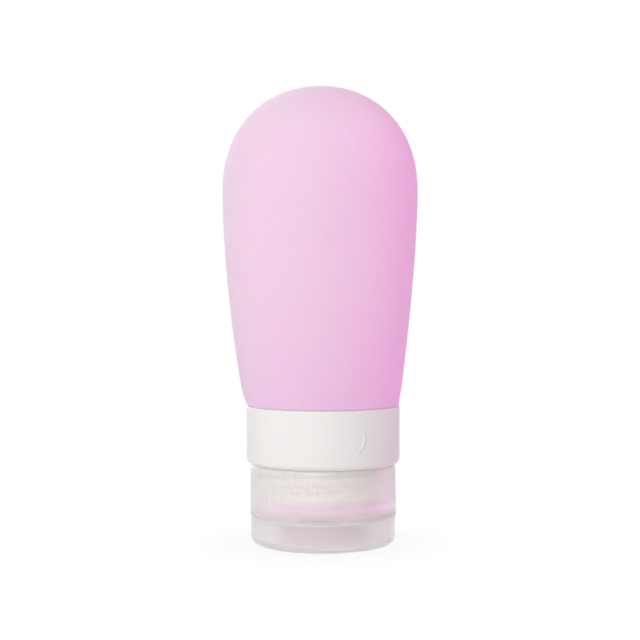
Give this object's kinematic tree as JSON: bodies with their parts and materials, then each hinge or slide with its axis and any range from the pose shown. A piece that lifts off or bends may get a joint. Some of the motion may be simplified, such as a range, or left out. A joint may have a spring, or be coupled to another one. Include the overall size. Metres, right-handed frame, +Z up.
{
  "type": "travel squeeze tube",
  "caption": "Soft silicone squeeze tube with a round end, a white collar, a clear screw cap and a flip lid that it stands on.",
  "frame": {"origin": "centre of the lid's end face, which is the lowest face when the tube stands on its lid", "axes": "+Z up the tube's axis to the round end, front faces -Y, lid hinge at +Y, +X to the right of someone who faces the front"},
  "size_m": [0.0484, 0.0484, 0.1123],
  "materials": {
    "silicone_body": "soft matte silicone, pale pink",
    "silicone_valve": "matte silicone, pink",
    "white_plastic": "satin white moulding",
    "clear_plastic": "translucent natural moulding, lightly frosted"
  },
  "bodies": {
    "tube": {"squeeze_body": "silicone_body", "neck_collar": "white_plastic"},
    "seal": {"slip_ring": "clear_plastic"},
    "cap": {"screw_cap": "clear_plastic", "dispensing_valve": "silicone_valve", "valve_retainer": "white_plastic", "living_hinge": "clear_plastic"},
    "lid": {"flip_lid": "clear_plastic"}
  },
  "joints": [
    {"name": "cap_travel", "type": "slide", "parent": "tube", "child": "seal", "axis": [0, 0, -1], "range_m": [0, 0.01]},
    {"name": "cap_turn", "type": "hinge", "parent": "seal", "child": "cap", "pos_m": [0, 0, 0.0084], "axis": [0, 0, -1], "range_deg": [0, 720]},
    {"name": "lid_flip", "type": "hinge", "parent": "cap", "child": "lid", "pos_m": [0, 0.0186, 0.00707], "axis": [1, 0, 0], "range_deg": [0, 170], "deforming": ["living_hinge"]}
  ],
  "couplings": [
    {"joint": "cap_travel", "follows": "cap_turn", "m_per_rad": 0.00079577}
  ]
}
